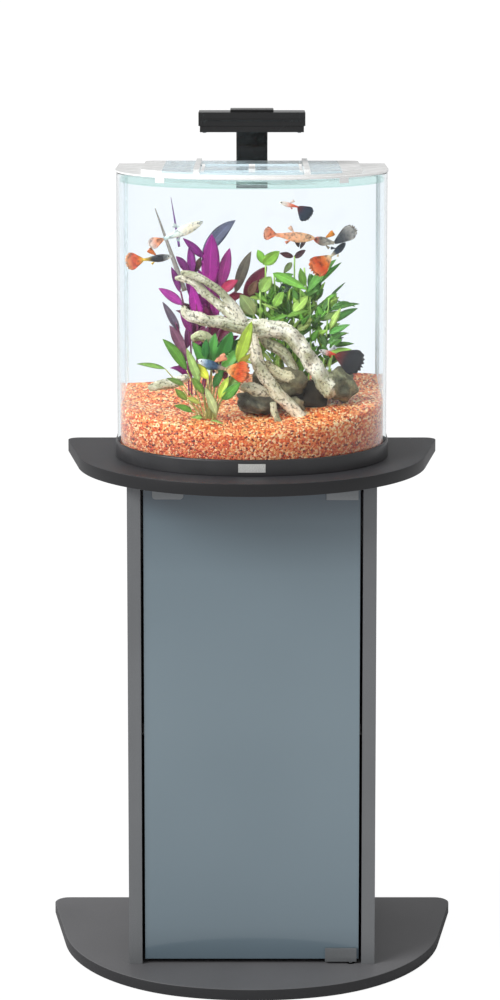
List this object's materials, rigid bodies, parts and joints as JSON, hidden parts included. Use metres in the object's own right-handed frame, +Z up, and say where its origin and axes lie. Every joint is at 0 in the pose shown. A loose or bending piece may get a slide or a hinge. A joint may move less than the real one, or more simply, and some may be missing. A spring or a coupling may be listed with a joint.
{
  "type": "aquarium with cabinet stand",
  "caption": "Bow-fronted glass aquarium with clear lift-off lid, feeding flap and tilting lamp, planted and gravelled, on its cabinet stand with a glass door.",
  "frame": {"origin": "on the floor, at the middle of the footprint", "axes": "+Z up, -Y the front with the bowed glass and the door, +Y the wall side, +X to the viewer's right"},
  "size_m": [0.6016, 0.356, 1.2375],
  "materials": {
    "board_melamine": "anthracite melamine-faced chipboard, satin",
    "back_board": "thin painted fibreboard",
    "beech_wood": "bare beech",
    "zinc_steel": "zinc plated",
    "clamp_metal": "satin grey metal",
    "felt": "grey felt",
    "black_plastic": "fine-textured black",
    "lamp_black": "satin black moulding",
    "black_rubber": "matt",
    "nylon_white": "natural nylon",
    "magnet": "dark nickel",
    "door_glass": "tinted blue-grey, polished",
    "tank_glass": "clear float glass, polished",
    "silicone": "clear silicone",
    "plate_pale": "pale blank plate",
    "foam": "closed-cell foam",
    "clear_plastic": "clear moulded plastic",
    "led_board": "white solder mask",
    "led_chip": "yellow phosphor",
    "diffuser": "frosted",
    "gravel": "coated orange grains",
    "old_wood": "weathered, greyish",
    "stone": "rough stone",
    "leaf_purple": "waxy leaf",
    "leaf_green": "waxy leaf"
  },
  "bodies": {
    "stand_and_tank": {"bottom_board": "board_melamine", "top_board": "board_melamine", "left_side_panel": "board_melamine", "right_side_panel": "board_melamine", "back_panel": "back_board", "rear_rail": "board_melamine", "shelf": "board_melamine", "shelf_pins": "zinc_steel", "floor_glides": "felt", "cam_locks": "zinc_steel", "cam_bolts": "zinc_steel", "wood_dowels": "beech_wood", "back_screws": "zinc_steel", "cable_grommet": "black_plastic", "hinge_bushes": "nylon_white", "latch_housing": "nylon_white", "latch_spring": "zinc_steel", "latch_screws": "zinc_steel", "tank_front_glass": "tank_glass", "tank_back_glass": "tank_glass", "tank_base_glass": "tank_glass", "silicone_seams": "silicone", "base_trim": "black_plastic", "trim_plate": "plate_pale", "foam_mat": "foam", "lamp_bracket": "black_plastic", "lamp_hinge_pin": "zinc_steel", "bracket_pads": "black_rubber", "dc_inlet": "black_plastic", "gravel_bed": "gravel", "driftwood": "old_wood", "root_stones": "stone", "purple_plant": "leaf_purple", "stem_plant": "leaf_green", "front_plant": "leaf_green"},
    "door": {"door_glass": "door_glass", "upper_hinge_clamp": "clamp_metal", "lower_hinge_clamp": "clamp_metal", "hinge_pins": "zinc_steel", "hinge_pads": "black_rubber", "clamp_set_screws": "zinc_steel", "strike_clip": "clamp_metal"},
    "latch": {"latch_plunger": "nylon_white", "latch_magnet": "magnet"},
    "lid": {"lid_frame": "clear_plastic", "lid_clips": "clear_plastic"},
    "flap": {"feeding_flap": "clear_plastic", "flap_pins": "zinc_steel"},
    "lamp": {"lamp_cover": "lamp_black", "lamp_base": "lamp_black", "led_board": "led_board", "led_chips": "led_chip", "lamp_diffuser": "diffuser", "lamp_arm": "lamp_black", "lamp_saddle": "lamp_black", "lamp_screws": "zinc_steel"},
    "knob": {"bracket_screw": "black_plastic"}
  },
  "joints": [
    {"name": "door_hinge", "type": "hinge", "parent": "stand_and_tank", "child": "door", "pos_m": [0.142, -0.08, 0.368], "axis": [0, 0, 1], "range_deg": [0, 105]},
    {"name": "latch_press", "type": "slide", "parent": "stand_and_tank", "child": "latch", "axis": [0, 1, 0], "range_m": [0, 0.002], "stiffness_N_per_m": 300},
    {"name": "lid_lift", "type": "slide", "parent": "stand_and_tank", "child": "lid", "axis": [0, 0, 1], "range_m": [0, 0.02]},
    {"name": "flap_hinge", "type": "hinge", "parent": "lid", "child": "flap", "pos_m": [0, 0.0125, 1.1596], "axis": [-1, 0, 0], "range_deg": [0, 80]},
    {"name": "lamp_tilt", "type": "hinge", "parent": "stand_and_tank", "child": "lamp", "pos_m": [0, 0.1595, 1.165], "axis": [-1, 0, 0], "range_deg": [0, 45]},
    {"name": "bracket_screw_turn", "type": "hinge", "parent": "stand_and_tank", "child": "knob", "pos_m": [0, 0.1685, 1.133], "axis": [0, 1, 0], "continuous": true}
  ]
}
